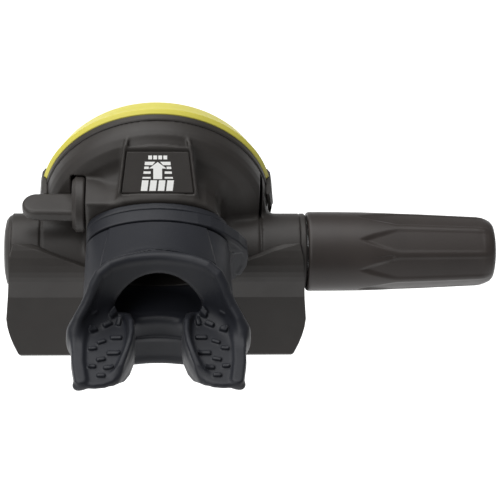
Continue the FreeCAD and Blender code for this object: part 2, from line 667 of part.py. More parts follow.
def venturi_shaft():
    """From inside the knob, through the neck's wall, into the vane."""
    left = HUB_LEFT + 1.5
    groove = SHAFT_R - 0.5
    return turned_x([(left, 0), (left, SHAFT_R), (BOSS_LEFT - 0.1, SHAFT_R), (BOSS_LEFT - 0.1, groove),
                     (BOSS_LEFT + 0.7, groove), (BOSS_LEFT + 0.7, SHAFT_R), (-16.6, SHAFT_R),
                     (-16.6, 1.6), (-14.0, 1.6), (-14.0, 0)], VENTURI_Y, VENTURI_Z)


def venturi_oring():
    return torus_x(BOSS_LEFT + 0.3, SHAFT_R + 0.25, 0.4, VENTURI_Y, VENTURI_Z)


def venturi_vane():
    """A flat flap that turns across the air's way."""
    reach = 4.9
    hub = cylinder_x(-16.4, -13.0, 2.6, VENTURI_Y, VENTURI_Z)
    flap = box(-15.6, -1.5, VENTURI_Y - 0.6, VENTURI_Y + 0.6, VENTURI_Z - reach, VENTURI_Z)
    return fuse([hub, flap]).cut(cylinder_x(-17.0, -14.0, 1.62, VENTURI_Y, VENTURI_Z))


# ---- exhaust ------------------------------------------------------------------------------------------

def exhaust_valve():
    """A mushroom disc under the port, on a stem with a bulb that holds it in the cross."""
    return turned_z([(0, PORT_BOTTOM - 1.2), (2.4, PORT_BOTTOM - 1.2), (VALVE_R, PORT_BOTTOM - 0.6),
                     (VALVE_R, PORT_BOTTOM), (1.25, PORT_BOTTOM), (1.25, PORT_BOTTOM + 1.65),
                     (1.9, PORT_BOTTOM + 1.9), (1.3, PORT_BOTTOM + 3.3), (0, PORT_BOTTOM + 3.6)],
                    0, PORT_Y)


def tee_profile():
    """The tee's (y, z) outline: it hugs the back of the housing, creases and flares to a lip."""
    def on_circle(radius, degrees):
        return (radius * math.cos(math.radians(degrees)), radius * math.sin(math.radians(degrees)))

    inner = HOUSING_R + 0.05
    outer = -TEE_REAR
    outside = [on_circle(outer, a) for a in (124, 134, 144, 154, 164, 172, 180)]
    outside += [(TEE_REAR + 0.3, TEE_CREASE_Z), (TEE_LIP_Y, TEE_BOTTOM + 1.2),
                (TEE_LIP_Y + 0.4, TEE_BOTTOM + 0.2), (TEE_LIP_Y + 1.4, TEE_BOTTOM),
                (TEE_FRONT - 1.4, TEE_BOTTOM), (TEE_FRONT - 0.2, TEE_BOTTOM + 0.6),
                (TEE_FRONT, TEE_BOTTOM + 2.0), (TEE_FRONT, -11.96)]
    inside = [on_circle(inner, a) for a in (280, 268, 256, 244, 232, 220, 208, 196, 184, 172, 160, 148, 136,
                                            124)]
    return outside + inside


def exhaust_tee():
    blank = extruded_x(tee_profile(), -TEE_HALF, TEE_HALF)
    ends = [(44.4, 14.0), (45.2, 11.1), (46.2, 8.2), (46.9, 0.0), (47.5, -8.0), (TEE_HALF, -15.0),
            (TEE_HALF - 0.3, -18.0), (TEE_HALF - 1.0, -21.0), (TEE_HALF - 2.0, -24.0),
            (TEE_HALF - 3.3, -27.0), (TEE_HALF - 5.0, TEE_BOTTOM - 1)]
    outline = ends + [(-x, z) for x, z in reversed(ends)]
    blank = blank.common(extruded_y(outline, -30, 20))
    collar = cylinder_z(TEE_COLLAR_BOTTOM, TEE_COLLAR_TOP, TEE_COLLAR_R, 0, PORT_Y)
    under_housing = cylinder_x(-TEE_HALF, TEE_HALF, HOUSING_R + 0.05)
    past_hose_sleeve = cylinder_x(SLEEVE_LEFT - FREE, TEE_HALF + 1, SLEEVE_BIG_R + FREE)
    body = fuse([blank, collar])
    duct = extruded_x([(TEE_REAR + 1.8, -13.9), (TEE_LIP_Y + 2.2, TEE_BOTTOM + TEE_WALL),
                       (TEE_FRONT - TEE_WALL, TEE_BOTTOM + TEE_WALL), (TEE_FRONT - TEE_WALL, -13.9)],
                      -TEE_HALF - 1, TEE_HALF + 1)
    valve_room = cylinder_z(-16.3, PORT_TOP, PORT_R + RUNNING, 0, PORT_Y)
    edge = [(49.0, 11.9), (45.2, 11.3), (41.0, 10.5), (37.0, 9.8), (32.0, 8.3), (26.0, 6.5), (22.0, 5.2)]
    neck_gap = extruded_y(edge + [(-x, z) for x, z in reversed(edge)], -30, 20)
    for cut in (under_housing, past_hose_sleeve, duct, valve_room, neck_gap):
        body = body.cut(cut)
    return body


# ---- mouthpiece ---------------------------------------------------------------------------------------

def mouthpiece_sleeve():
    groove_front = BAND_FRONT + 0.1
    groove_rear = BAND_FRONT - BAND_W - 0.1
    seat_w = BAND_HALF_W - BAND_T
    seat_h = BAND_HALF_H - BAND_T
    front = oval_prism(groove_front, SLEEVE_FRONT, SLEEVE_HALF_W - 0.4, SLEEVE_HALF_H - 0.4)
    seat = oval_prism(groove_rear, groove_front, seat_w, seat_h)
    rear = oval_loft([(groove_rear, SLEEVE_HALF_W - 0.3, SLEEVE_HALF_H - 0.5, TUBE_Z),
                      (-30.0, SLEEVE_HALF_W - 0.1, 14.0, 19.4),
                      (FLANGE_Y - 14.0, SLEEVE_HALF_W - 0.1, 18.0, 18.4)])
    rear = rear.cut(bent_cylinder(FLANGE_WRAP - 0.5 * FLANGE_T))
    return [front, seat, rear]


def bent_cylinder(radius):
    """The upright cylinder that the flange follows, leaning towards the diver at its foot."""
    middle = 0.5 * (FLANGE_TOP + FLANGE_BOTTOM)
    cylinder = cylinder_z(FLANGE_BOTTOM - 10, FLANGE_TOP + 10, radius, 0, FLANGE_Y - FLANGE_WRAP)
    cylinder.rotate(Vector(0, FLANGE_Y, middle), AXIS_X, -FLANGE_LEAN)
    return cylinder


def flange():
    """An oval plate bent round the leaning cylinder."""
    half_h = 0.5 * (FLANGE_TOP - FLANGE_BOTTOM)
    middle = 0.5 * (FLANGE_TOP + FLANGE_BOTTOM)
    wall = bent_cylinder(FLANGE_WRAP).cut(bent_cylinder(FLANGE_WRAP - FLANGE_T))
    return wall.common(oval_prism(FLANGE_Y - 30.0, FLANGE_Y + 12.0, FLANGE_HALF_W, half_h, middle))


def bite_tab():
    """The right tab: a plate with a wall along its outer edge and a lip along its inner edge."""
    outer = [(TAB_OUTER - 0.6, -46.0), (TAB_OUTER, -53.0), (TAB_OUTER, -64.0),
             (TAB_OUTER - 1.0, TAB_END + 2)]
    inner = [(TAB_INNER, -46.0), (TAB_INNER, -56.0), (TAB_INNER + 1.0, -63.0),
             (TAB_INNER + 4.6, TAB_END + 4)]
    plate = extruded_z([(TAB_INNER, -42.0), (TAB_OUTER - 4.0, -43.6)] + outer
                       + [(TAB_OUTER - 4.0, TAB_END), (TAB_OUTER - 8.5, TAB_END)] + inner[::-1],
                       TAB_TOP - TAB_T, TAB_TOP)
    wall = extruded_z(outer + [(x - TAB_WALL, y) for x, y in reversed(outer)],
                      TAB_TOP - TAB_T - 1.2, TAB_TOP + 1.8)
    lip = extruded_z(inner + [(x + TAB_LIP, y) for x, y in reversed(inner)],
                     TAB_TOP - TAB_T - 3.0, TAB_TOP + 3.6)
    return [plate, wall, lip]


def mouthpiece():
    pieces = mouthpiece_sleeve() + [flange()]
    for shape in bite_tab():
        pieces += both_sides(shape)
    body = fuse(pieces)
    tube_room = oval_prism(TUBE_END - 0.3, SLEEVE_FRONT + 1, TUBE_HALF_W + 0.05, TUBE_HALF_H + 0.05)
    throat = oval_loft([(TUBE_END, TUBE_HALF_W - TUBE_WALL, TUBE_HALF_H - TUBE_WALL, TUBE_Z),
                        (FLANGE_Y - FLANGE_T - 2.6, HOLE_HALF_W, HOLE_HALF_H, MOUTH.z)])
    return body.cut(tube_room).cut(throat)


def mouthpiece_tie():
    """An oval band whose end runs straight to a ratchet head, with its cut tail below."""
    rear = BAND_FRONT - BAND_W
    inner = oval_prism(rear, BAND_FRONT, BAND_HALF_W - BAND_T, BAND_HALF_H - BAND_T)
    band = oval_prism(rear, BAND_FRONT, BAND_HALF_W, BAND_HALF_H)
    head_x = BAND_HALF_W + 7.6
    head = extruded_y([(15.5, 28.1), (head_x - 0.6, 18.9), (head_x, 16.8), (head_x - 0.5, 13.8),
                       (head_x - 3.2, 12.6), (BAND_HALF_W - 0.6, 12.6), (BAND_HALF_W - 1.0, TUBE_Z)],
                      rear, BAND_FRONT)
    tail = extruded_y([(BAND_HALF_W + 0.4, 13.0), (head_x - 3.4, 13.0), (BAND_HALF_W + 2.4, 2.5),
                       (BAND_HALF_W + 1.2, 2.5)], rear + 0.8, BAND_FRONT - 1.4)
    return fuse([band, head, tail]).cut(inner)


# ---- hose end -----------------------------------------------------------------------------------------

def swivel_nut():
    """The hexagonal nut that draws the hose's fitting into the inlet."""
    nut = hexagon(NUT_LEFT, NUT_RIGHT, NUT_FLATS)
    thread = cylinder_x(NUT_LEFT, BARREL_RIGHT + 0.1, BARREL_R + RUNNING)
    neck = cylinder_x(BARREL_RIGHT, NUT_RIGHT, 5.0 + RUNNING)
    return nut.cut(thread).cut(neck)


def hose_fitting():
    """A tube with a nipple inside the inlet, a flange under the nut and a barb for the hose."""
    nipple = ORIFICE_R - RUNNING
    flange_left, flange_right = 54.2, 56.8
    return turned_x([
        (47.0, 2.2), (47.0, nipple), (49.0, nipple), (49.0, 4.9), (51.4, 4.9), (51.4, nipple),
        (flange_left, nipple), (flange_right, nipple), (flange_right, 5.0), (60.6, 5.0), (60.6, 6.6),
        (62.0, 6.6), (62.0, 3.2), (78.0, 3.2), (79.0, 2.8), (79.0, 2.2)])


def fitting_oring():
    return torus_x(50.2, 5.45, 0.5)


def hose_ferrule():
    return turned_x([(FERRULE_LEFT, 3.25), (FERRULE_LEFT, FERRULE_R - 0.5), (FERRULE_LEFT + 0.6, FERRULE_R),
                     (FERRULE_RIGHT - 0.6, FERRULE_R), (FERRULE_RIGHT, FERRULE_R - 0.5),
                     (FERRULE_RIGHT, FERRULE_BORE_R), (FERRULE_LEFT + 2.0, FERRULE_BORE_R),
                     (FERRULE_LEFT + 2.0, 3.25)])


def hose_protector():
    """The long tapered rubber sleeve, with a rounded outer end."""
    span = SLEEVE_RIGHT - SLEEVE_LEFT
    end_round = 4.0
    tail = SLEEVE_SMALL_R
    return turned_x([
        (SLEEVE_LEFT, 10.6), (SLEEVE_LEFT, SLEEVE_BIG_R - 0.6), (SLEEVE_LEFT + 0.6, SLEEVE_BIG_R),
        (SLEEVE_LEFT + 0.3 * span, SLEEVE_BIG_R - 0.2), (SLEEVE_RIGHT - end_round, tail),
        (SLEEVE_RIGHT - 0.45 * end_round, tail - 0.7), (SLEEVE_RIGHT - 0.12 * end_round, tail - 2.0),
        (SLEEVE_RIGHT, tail - 3.2), (SLEEVE_RIGHT, HOSE_BORE_R), (FERRULE_RIGHT + 0.4, HOSE_BORE_R),
        (FERRULE_RIGHT + 0.4, FERRULE_R + RUNNING), (FERRULE_LEFT - 0.6, FERRULE_R + RUNNING),
        (FERRULE_LEFT - 0.6, 10.6)])


# ---- writing ------------------------------------------------------------------------------------------

NODES = {
    "case_shell": case_shell,
    "label_plate": label_plate,
    "cover_ring": cover_ring,
    "front_cover": front_cover,
    "purge_button": purge_button,
    "purge_spring": purge_spring,
    "diaphragm": diaphragm,
    "diaphragm_disc": diaphragm_disc,
    "valve_barrel": valve_barrel,
    "orifice": orifice,
    "orifice_oring": orifice_oring,
    "poppet": poppet,
    "lp_seat": lp_seat,
    "poppet_spring": poppet_spring,
    "poppet_washer": poppet_washer,
    "poppet_locknut": poppet_locknut,
    "demand_lever": demand_lever,
    "barrel_plug": barrel_plug,
    "barrel_plug_oring": barrel_plug_oring,
    "barrel_end_cap": barrel_end_cap,
    "inlet_collar": inlet_collar,
    "venturi_knob": venturi_knob,
    "venturi_shaft": venturi_shaft,
    "venturi_oring": venturi_oring,
    "venturi_vane": venturi_vane,
    "exhaust_valve": exhaust_valve,
    "exhaust_tee": exhaust_tee,
    "mouthpiece": mouthpiece,
    "mouthpiece_tie": mouthpiece_tie,
    "swivel_nut": swivel_nut,
    "hose_fitting": hose_fitting,
    "fitting_oring": fitting_oring,
    "hose_ferrule": hose_ferrule,
    "hose_protector": hose_protector,
}

os.makedirs("parts", exist_ok=True)
for name, make in NODES.items():
    shape = make()
    shape.translate(MOUTH.negative())
    print(f"{name}: solids {len(shape.Solids)}, valid {shape.isValid()}, volume {shape.Volume:.1f}")
    shape.exportStep(f"parts/{name}.step")
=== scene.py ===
import itertools
import json
import math

import bpy
import numpy as np
from mathutils import Euler, Matrix, Vector


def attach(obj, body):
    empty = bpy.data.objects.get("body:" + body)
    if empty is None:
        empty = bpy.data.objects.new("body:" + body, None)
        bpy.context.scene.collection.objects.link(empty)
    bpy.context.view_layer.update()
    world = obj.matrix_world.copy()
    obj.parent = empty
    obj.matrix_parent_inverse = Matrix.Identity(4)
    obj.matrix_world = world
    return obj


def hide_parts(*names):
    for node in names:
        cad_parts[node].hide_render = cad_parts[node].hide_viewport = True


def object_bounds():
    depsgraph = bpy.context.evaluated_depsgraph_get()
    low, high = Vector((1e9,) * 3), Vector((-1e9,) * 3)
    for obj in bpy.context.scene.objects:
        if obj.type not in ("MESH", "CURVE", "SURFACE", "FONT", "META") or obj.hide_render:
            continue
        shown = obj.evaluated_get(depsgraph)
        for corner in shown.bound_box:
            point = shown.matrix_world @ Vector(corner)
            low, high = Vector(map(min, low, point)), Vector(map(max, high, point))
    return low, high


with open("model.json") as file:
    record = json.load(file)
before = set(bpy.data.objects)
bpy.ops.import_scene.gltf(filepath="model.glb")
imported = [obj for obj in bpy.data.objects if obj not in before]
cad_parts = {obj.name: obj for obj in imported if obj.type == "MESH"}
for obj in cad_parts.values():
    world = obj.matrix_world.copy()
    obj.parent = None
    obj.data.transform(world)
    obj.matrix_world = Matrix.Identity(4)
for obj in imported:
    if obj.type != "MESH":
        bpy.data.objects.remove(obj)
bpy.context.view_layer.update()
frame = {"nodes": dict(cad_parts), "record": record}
nodes = frame["nodes"]

# Shapes below are drawn in millimetres about the valve barrel: X along the barrel towards the hose,
# Y forward and Z up. The frame's origin is the air hole's centre, at this point of that drawing.
MOUTH = np.array([0.0, -41.0, 22.0])
MM = 0.001


def to_row(points):
    """Points of the drawing, in millimetres, as metres in the frame."""
    return (np.asarray(points, float) - MOUTH) * MM


# ---- solids from distance fields ----------------------------------------------------------------------

def surface_nets(field, low, step):
    """Quads on the zero level of a field sampled on a grid that starts at low."""
    inside = field < 0
    size = np.array(field.shape)
    corner_offsets = list(itertools.product((0, 1), repeat=3))
    count = sum(inside[dx:size[0] - 1 + dx, dy:size[1] - 1 + dy, dz:size[2] - 1 + dz].astype(np.int8)
                for dx, dy, dz in corner_offsets)
    active = (count > 0) & (count < 8)
    cells = np.argwhere(active)
    index = np.full(active.shape, -1, np.int64)
    index[active] = np.arange(len(cells))
    total = np.zeros((len(cells), 3))
    crossings = np.zeros(len(cells))
    for start in corner_offsets:
        for axis in range(3):
            if start[axis]:
                continue
            end = list(start)
            end[axis] = 1
            near = field[tuple((cells + start).T)]
            far = field[tuple((cells + end).T)]
            cut = (near < 0) != (far < 0)
            place = np.tile(np.array(start, float), (len(cells), 1))
            place[:, axis] = near / np.where(near == far, 1, near - far)
            total[cut] += place[cut]
            crossings[cut] += 1
    points = np.array(low) + (cells + total / crossings[:, None]) * step
    quads = []
    for axis in range(3):
        u, v = (axis + 1) % 3, (axis + 2) % 3
        first = [slice(1, -1)] * 3
        first[axis] = slice(0, -1)
        second = list(first)
        second[axis] = slice(1, None)
        a, b = inside[tuple(first)], inside[tuple(second)]
        for swap, edge in ((False, a & ~b), (True, ~a & b)):
            at = np.argwhere(edge) + 1
            at[:, axis] -= 1
            down_u = np.zeros(3, int)
            down_u[u] = 1
            down_v = np.zeros(3, int)
            down_v[v] = 1
            ring = [index[tuple(p.T)] for p in (at, at - down_u, at - down_u - down_v, at - down_v)]
            quads.append(np.stack(ring[::-1] if swap else ring, 1))
    return points, np.concatenate(quads)


def grid(low, high, step):
    """Coordinates of a block of space, ready to broadcast against each other."""
    axes = [np.arange(a, b + step, step, dtype=np.float32) for a, b in zip(low, high)]
    return np.meshgrid(*axes, indexing="ij", sparse=True)


def oval(x, z, half_w, half_h):
    """Nearly the distance to an ellipse about the origin."""
    k0 = np.sqrt((x / half_w) ** 2 + (z / half_h) ** 2)
    k1 = np.sqrt((x / half_w ** 2) ** 2 + (z / half_h ** 2) ** 2)
    return k0 * (k0 - 1) / np.maximum(k1, 1e-6)


def graded(place, places, sizes):
    """A size that changes along one direction, in straight runs between the sizes given."""
    return np.interp(place, places, sizes).astype(np.float32)


def join(a, b, blend):
    """Two solids as one, with a fillet about as wide as the blend where they meet."""
    h = np.clip(0.5 + 0.5 * (b - a) / blend, 0, 1)
    return b + (a - b) * h - blend * h * (1 - h)


def both(a, b, blend):
    """What two solids share, with its edges rounded."""
    return -join(-a, -b, blend)


def less(a, b, blend):
    """The first solid without the second, with the new edges rounded."""
    return both(a, -b, blend)


def prism(outline, height, rounding):
    """A solid from the distances to an outline and to its two ends."""
    a, b = outline + rounding, height + rounding
    return np.minimum(np.maximum(a, b), 0) + np.hypot(np.maximum(a, 0), np.maximum(b, 0)) - rounding


def path_distance(x, y, points):
    """Distance in a plane to a run of straight lines."""
    best = None
    for (x0, y0), (x1, y1) in zip(points, points[1:]):
        length2 = (x1 - x0) ** 2 + (y1 - y0) ** 2
        t = np.clip(((x - x0) * (x1 - x0) + (y - y0) * (y1 - y0)) / length2, 0, 1)
        d = np.hypot(x - x0 - t * (x1 - x0), y - y0 - t * (y1 - y0))
        best = d if best is None else np.minimum(best, d)
    return best


def polygon_distance(x, y, points):
    """Signed distance in a plane to a closed outline, less than nought inside."""
    closed = points + points[:1]
    d = path_distance(x, y, closed)
    inside = np.zeros(np.broadcast(x, y).shape, bool)
    for (x0, y0), (x1, y1) in zip(closed, closed[1:]):
        if y0 == y1:
            continue
        crosses = ((y0 > y) != (y1 > y)) & (x < (x1 - x0) * (y - y0) / (y1 - y0) + x0)
        inside ^= crosses
    return np.where(inside, -d, d)


def bar(x, y, at_x, at_y, length, width, degrees):
    """Signed distance to a rounded bar lying in a plane."""
    c, s = math.cos(math.radians(degrees)), math.sin(math.radians(degrees))
    along = np.abs((x - at_x) * c + (y - at_y) * s) - 0.5 * length
    across = np.abs((y - at_y) * c - (x - at_x) * s) - 0.5 * width
    return prism(along, across, 0.25)


# ---- objects ------------------------------------------------------------------------------------------

def mesh_piece(name, points, faces, material, body, smooth=True):
    """A visible piece that moves with a body; its points are in the drawing's millimetres."""
    mesh = bpy.data.meshes.new(name)
    mesh.from_pydata(to_row(points).tolist(), [], [tuple(f) for f in np.asarray(faces).tolist()])
    mesh.validate()
    if smooth:
        mesh.shade_smooth()
    mesh.materials.append(material)
    piece = bpy.data.objects.new(name, mesh)
    bpy.context.scene.collection.objects.link(piece)
    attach(piece, body)
    return piece


def field_piece(name, field, low, step, material, body):
    """A visible piece on the surface of a distance field."""
    points, quads = surface_nets(field, low, step)
    return mesh_piece(name, points, quads, material, body)


# ---- materials ----------------------------------------------------------------------------------------

def shader(name):
    """A new material with its node tree and its surface shader."""
    material = bpy.data.materials.new(name)
    material.use_nodes = True
    tree = material.node_tree
    return material, tree, tree.nodes["Principled BSDF"]


def noise(tree, scale, detail=3.0, stretch=(1, 1, 1)):
    """A noise that stays fixed to the piece; its scale counts features per metre."""
    coordinates = tree.nodes.new("ShaderNodeTexCoord")
    mapping = tree.nodes.new("ShaderNodeMapping")
    mapping.inputs["Scale"].default_value = stretch
    texture = tree.nodes.new("ShaderNodeTexNoise")
    texture.inputs["Scale"].default_value = scale
    texture.inputs["Detail"].default_value = detail
    tree.links.new(coordinates.outputs["Object"], mapping.inputs["Vector"])
    tree.links.new(mapping.outputs["Vector"], texture.inputs["Vector"])
    return texture.outputs["Fac"]


def ramp(tree, value, stops):
    """Colours along a value, from (place, colour) stops."""
    node = tree.nodes.new("ShaderNodeValToRGB")
    elements = node.color_ramp.elements
    while len(elements) < len(stops):
        elements.new(0.5)
    for element, (place, colour) in zip(elements, stops):
        element.position = place
        element.color = (*colour, 1)
    tree.links.new(value, node.inputs["Fac"])
    return node.outputs["Color"]


def scaled(tree, value, low, high):
    """A value from 0 to 1 stretched to lie between low and high."""
    node = tree.nodes.new("ShaderNodeMapRange")
    node.inputs["To Min"].default_value = low
    node.inputs["To Max"].default_value = high
    tree.links.new(value, node.inputs["Value"])
    return node.outputs["Result"]


def mixed(tree, factor, a, b):
    """One colour that gives way to another as the factor rises."""
    node = tree.nodes.new("ShaderNodeMix")
    node.data_type = "RGBA"
    tree.links.new(factor, node.inputs["Factor"])
    tree.links.new(a, node.inputs["A"])
    tree.links.new(b, node.inputs["B"])
    return node.outputs["Result"]


def edge_mask(tree, radius):
    """Near one on sharp edges, nought on flat surface."""
    bevel = tree.nodes.new("ShaderNodeBevel")
    bevel.samples = 4
    bevel.inputs["Radius"].default_value = radius
    geometry = tree.nodes.new("ShaderNodeNewGeometry")
    dot = tree.nodes.new("ShaderNodeVectorMath")
    dot.operation = "DOT_PRODUCT"
    tree.links.new(bevel.outputs["Normal"], dot.inputs[0])
    tree.links.new(geometry.outputs["Normal"], dot.inputs[1])
    mask = tree.nodes.new("ShaderNodeMapRange")
    mask.inputs["From Min"].default_value = 0.995
    mask.inputs["From Max"].default_value = 0.86
    tree.links.new(dot.outputs["Value"], mask.inputs["Value"])
    return bevel.outputs["Normal"], mask.outputs["Result"]


def tint(colour, factor):
    return tuple(min(1.0, c * factor) for c in colour)


def moulded(name, colour, rough, grain_mm, grain_depth, spread=0.16, edge_mm=0.45, edge_gain=1.5,
            sheen=0.0, specular=0.35):
    """Moulded plastic or rubber: patchy colour, fine surface grain, softened and slightly paler edges."""
    material, tree, bsdf = shader(name)
    patches = ramp(tree, noise(tree, 55, 4),
                   [(0.3, tint(colour, 1 - spread)), (0.7, tint(colour, 1 + spread))])
    fine = noise(tree, 1 / (grain_mm * MM), 2)
    if edge_mm:
        rounded, edges = edge_mask(tree, edge_mm * MM)
        pale = ramp(tree, noise(tree, 400, 4),
                    [(0.35, tint(colour, 1.0)), (0.65, tint(colour, edge_gain))])
        patches = mixed(tree, edges, patches, pale)
    tree.links.new(patches, bsdf.inputs["Base Color"])
    smudges = noise(tree, 160, 5)
    tree.links.new(scaled(tree, smudges, rough - 0.08, rough + 0.08), bsdf.inputs["Roughness"])
    bsdf.inputs["Specular IOR Level"].default_value = specular
    bsdf.inputs["Sheen Weight"].default_value = sheen
    bsdf.inputs["Sheen Roughness"].default_value = 0.5
    bump = tree.nodes.new("ShaderNodeBump")
    bump.inputs["Strength"].default_value = 0.6
    bump.inputs["Distance"].default_value = grain_depth * MM
    tree.links.new(fine, bump.inputs["Height"])
    if edge_mm:
        tree.links.new(rounded, bump.inputs["Normal"])
    tree.links.new(bump.outputs["Normal"], bsdf.inputs["Normal"])
    return material


def metal(name, colour, rough, stretch, edge_mm=0.2):
    """Plated, drawn or turned metal with fine marks along one direction."""
    material, tree, bsdf = shader(name)
    bsdf.inputs["Metallic"].default_value = 1.0
    marks = noise(tree, 900, 4, stretch)
    tree.links.new(ramp(tree, marks, [(0.3, tint(colour, 0.82)), (0.7, tint(colour, 1.08))]),
                   bsdf.inputs["Base Color"])
    tree.links.new(scaled(tree, marks, rough - 0.06, rough + 0.1), bsdf.inputs["Roughness"])
    rounded, _ = edge_mask(tree, edge_mm * MM)
    bump = tree.nodes.new("ShaderNodeBump")
    bump.inputs["Strength"].default_value = 0.3
    bump.inputs["Distance"].default_value = 0.01 * MM
    tree.links.new(marks, bump.inputs["Height"])
    tree.links.new(rounded, bump.inputs["Normal"])
    tree.links.new(bump.outputs["Normal"], bsdf.inputs["Normal"])
    return material


finish = {
    "case_black": moulded("case_black", (0.026, 0.023, 0.021), 0.50, 0.28, 0.030),
    "cover_yellow": moulded("cover_yellow", (0.60, 0.545, 0.085), 0.42, 0.5, 0.010, spread=0.03,
                            edge_gain=1.06),
    "silicone_black": moulded("silicone_black", (0.0095, 0.0105, 0.0145), 0.50, 0.35, 0.016, edge_mm=0,
                              sheen=0.02, specular=0.3),
    "sleeve_rubber": moulded("sleeve_rubber", (0.026, 0.021, 0.019), 0.44, 0.4, 0.016, edge_mm=0),
    "membrane": moulded("membrane", (0.45, 0.45, 0.43), 0.45, 0.6, 0.01, spread=0.05),
    "seal_black": moulded("seal_black", (0.02, 0.02, 0.02), 0.4, 0.4, 0.008, edge_mm=0),
    "chrome": metal("chrome", (0.62, 0.63, 0.64), 0.14, (0.2, 1, 1)),
    "steel": metal("steel", (0.55, 0.56, 0.57), 0.28, (0.15, 1, 1)),
    "brass": metal("brass", (0.70, 0.52, 0.26), 0.24, (1, 0.3, 0.3)),
    "inner_plastic": moulded("inner_plastic", (0.10, 0.10, 0.105), 0.45, 0.5, 0.01),
    "print_white": moulded("print_white", (0.80, 0.80, 0.78), 0.5, 0.3, 0.006, spread=0.04, edge_mm=0),
}

slot_of = {part["node"]: part["material_slot"] for part in frame["record"]["subparts"]}
for name, node in nodes.items():
    node.data.materials.clear()
    node.data.materials.append(finish[slot_of[name]])


# ---- mouthpiece ---------------------------------------------------------------------------------------

FINE = 0.32      # grid step of the soft parts

TUBE_Z = 20.0                          # axis of the mouth tube, and its rear end
TUBE_END = -28.0
MOUTH_FRONT = -9.7                     # front end of the mouthpiece
BAND_FRONT = -12.4                     # the tie
BAND_REAR = -17.2
GROOVE_FRONT = -12.2                   # the groove that it lies in
GROOVE_REAR = -18.4
SEAT_W, SEAT_H = 20.7, 9.6
# the mouthpiece's sleeve from rear to front: y, half width, half height, height of its middle
MOUTH_STATIONS = [-60.0, -40.0, -32.0, -24.0, BAND_REAR - 0.2, MOUTH_FRONT]
MOUTH_HALF_W = [23.0, 22.6, 22.3, 22.1, 22.0, 21.9]
MOUTH_HALF_H = [18.4, 16.9, 14.9, 12.6, 10.9, 10.9]
MOUTH_MIDDLE = [18.2, 18.6, 19.2, 19.7, TUBE_Z, TUBE_Z]
SLEEVE_PANEL_REAR = -35.0              # raised panel on top of it
FLANGE_Y = -39.2
FLANGE_Z = 16.9
FLANGE_WRAP = 31.5                     # radius at which the flange wraps round the teeth
FLANGE_LEAN = math.radians(10.0)
FLANGE_HALF_T = 1.35
RIM_R = 1.45
# half outline of the flange, as (x, height above its centre); the rim's bead runs along it
FLANGE_OUTLINE = [(0.0, 18.7), (10.0, 18.6), (14.5, 18.0), (17.6, 16.2), (19.4, 13.0), (20.4, 10.0),
                  (21.8, 7.0), (23.8, 4.2), (25.0, 1.0), (25.2, -3.0), (24.6, -8.0), (22.6, -12.6),
                  (18.6, -16.2), (13.0, -18.2), (6.5, -18.8), (0.0, -18.9)]
THROAT_LENGTH = 12.0                   # over which the tube's oval opens into the arched hole
TREAD_TOP = 18.6                       # bite surface of the two tabs
WALL_TOP = 19.5                        # wall along a tab's outer edge
TAB_OUTLINE = [(8.4, -44.8), (13.2, -44.6), (15.5, -41.0), (20.0, -40.0), (24.8, -46.0), (25.2, -54.0),
               (25.0, -64.0), (24.0, -71.0), (23.0, -72.6), (18.5, -73.0), (15.6, -72.6), (13.2, -71.4),
               (11.4, -69.0), (9.4, -64.0), (8.0, -58.0), (7.8, -50.0)]
# underside of a tab as (y, z), by place and height
UNDER_Y = [-73.0, -64.0, -46.0]
UNDER_Z = [16.6, 15.2, 14.0]
WALL_PATH = [(23.0, -43.0), (23.6, -47.0), (23.6, -64.0), (22.7, -71.0)]
WALL_HALF_W = 1.7
TAB_CORNER = (23.5, -71.3, 16.7)       # round lump at a tab's outer corner
TAB_CORNER_R = 1.5
# floor of the air hole, which rolls down to the lower lip, as (y, z)
SILL_OUTLINE = [(-36.0, 14.4), (-40.3, 14.4), (-44.2, 7.6), (-43.2, 6.6), (-38.0, 6.6)]
# lip along a tab's inner edge, and its top by place
LIP_PATH = [(9.8, -44.6), (8.3, -50.0), (8.1, -54.5), (8.6, -58.5), (9.8, -63.0), (11.3, -66.8),
            (13.0, -69.6)]
LIP_Y = [-70.6, -69.0, -66.8, -63.0, -58.0, -50.0, -47.0, -44.0]
LIP_TOP = [17.0, 18.6, 20.4, 21.9, 22.4, 22.0, 20.6, 18.0]
LIP_MIDDLE_Z = 16.7
# bars on the bite surface: x, y, length across, width, degrees
BARS = [
    (12.5, -54.7, 3.3, 1.5, 0), (13.2, -60.8, 3.9, 1.5, 0), (14.6, -66.4, 2.9, 1.5, 0),
    (15.1, -49.6, 2.8, 1.3, -32), (16.8, -56.3, 2.6, 1.3, -22), (16.9, -63.2, 2.6, 1.3, -12),
    (16.8, -69.4, 2.4, 1.3, 0), (19.0, -47.9, 2.2, 1.2, -40), (19.2, -52.0, 2.4, 1.3, -25),
    (19.4, -58.9, 2.4, 1.3, -6), (19.4, -65.9, 2.3, 1.3, 0), (11.8, -48.6, 1.3, 2.6, 8),
    (13.4, -46.4, 2.4, 1.2, -40)]


